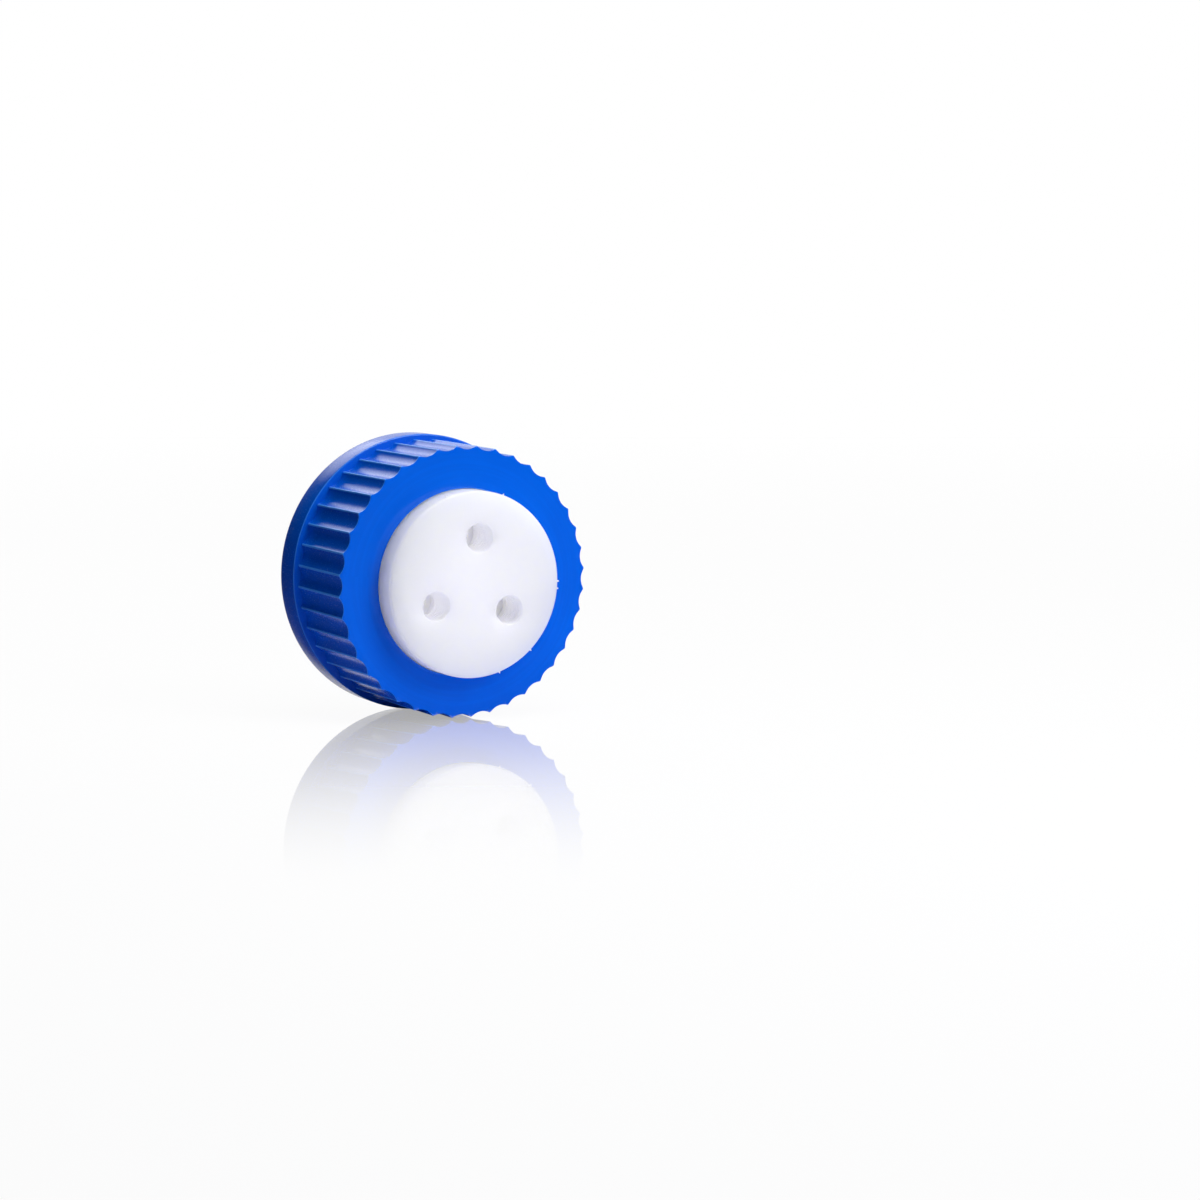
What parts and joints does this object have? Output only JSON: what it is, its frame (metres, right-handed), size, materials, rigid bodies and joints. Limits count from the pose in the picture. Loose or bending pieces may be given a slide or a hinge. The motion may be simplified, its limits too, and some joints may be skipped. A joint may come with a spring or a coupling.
{
  "type": "three-port bottle cap",
  "caption": "Screw cap for a wide-neck lab bottle: fluted blue ring that turns freely round a white insert with tube ports and a black sealing ring.",
  "frame": {"origin": "centre of the rim face that the cap stands on", "axes": "+Z along the cap's axis, out of its closed end; +Y towards the first port"},
  "size_m": [0.054, 0.054, 0.0295],
  "materials": {
    "blue_plastic": "satin moulded polypropylene",
    "white_plastic": "turned white fluoropolymer, waxy",
    "black_rubber": "smooth black elastomer"
  },
  "bodies": {
    "ring": {"screw_ring": "blue_plastic"},
    "insert": {"port_insert": "white_plastic", "sealing_ring": "black_rubber"}
  },
  "joints": [
    {"name": "ring_swivel", "type": "hinge", "parent": "ring", "child": "insert", "pos_m": [0, 0, 0.0238], "axis": [0, 0, 1], "continuous": true}
  ]
}
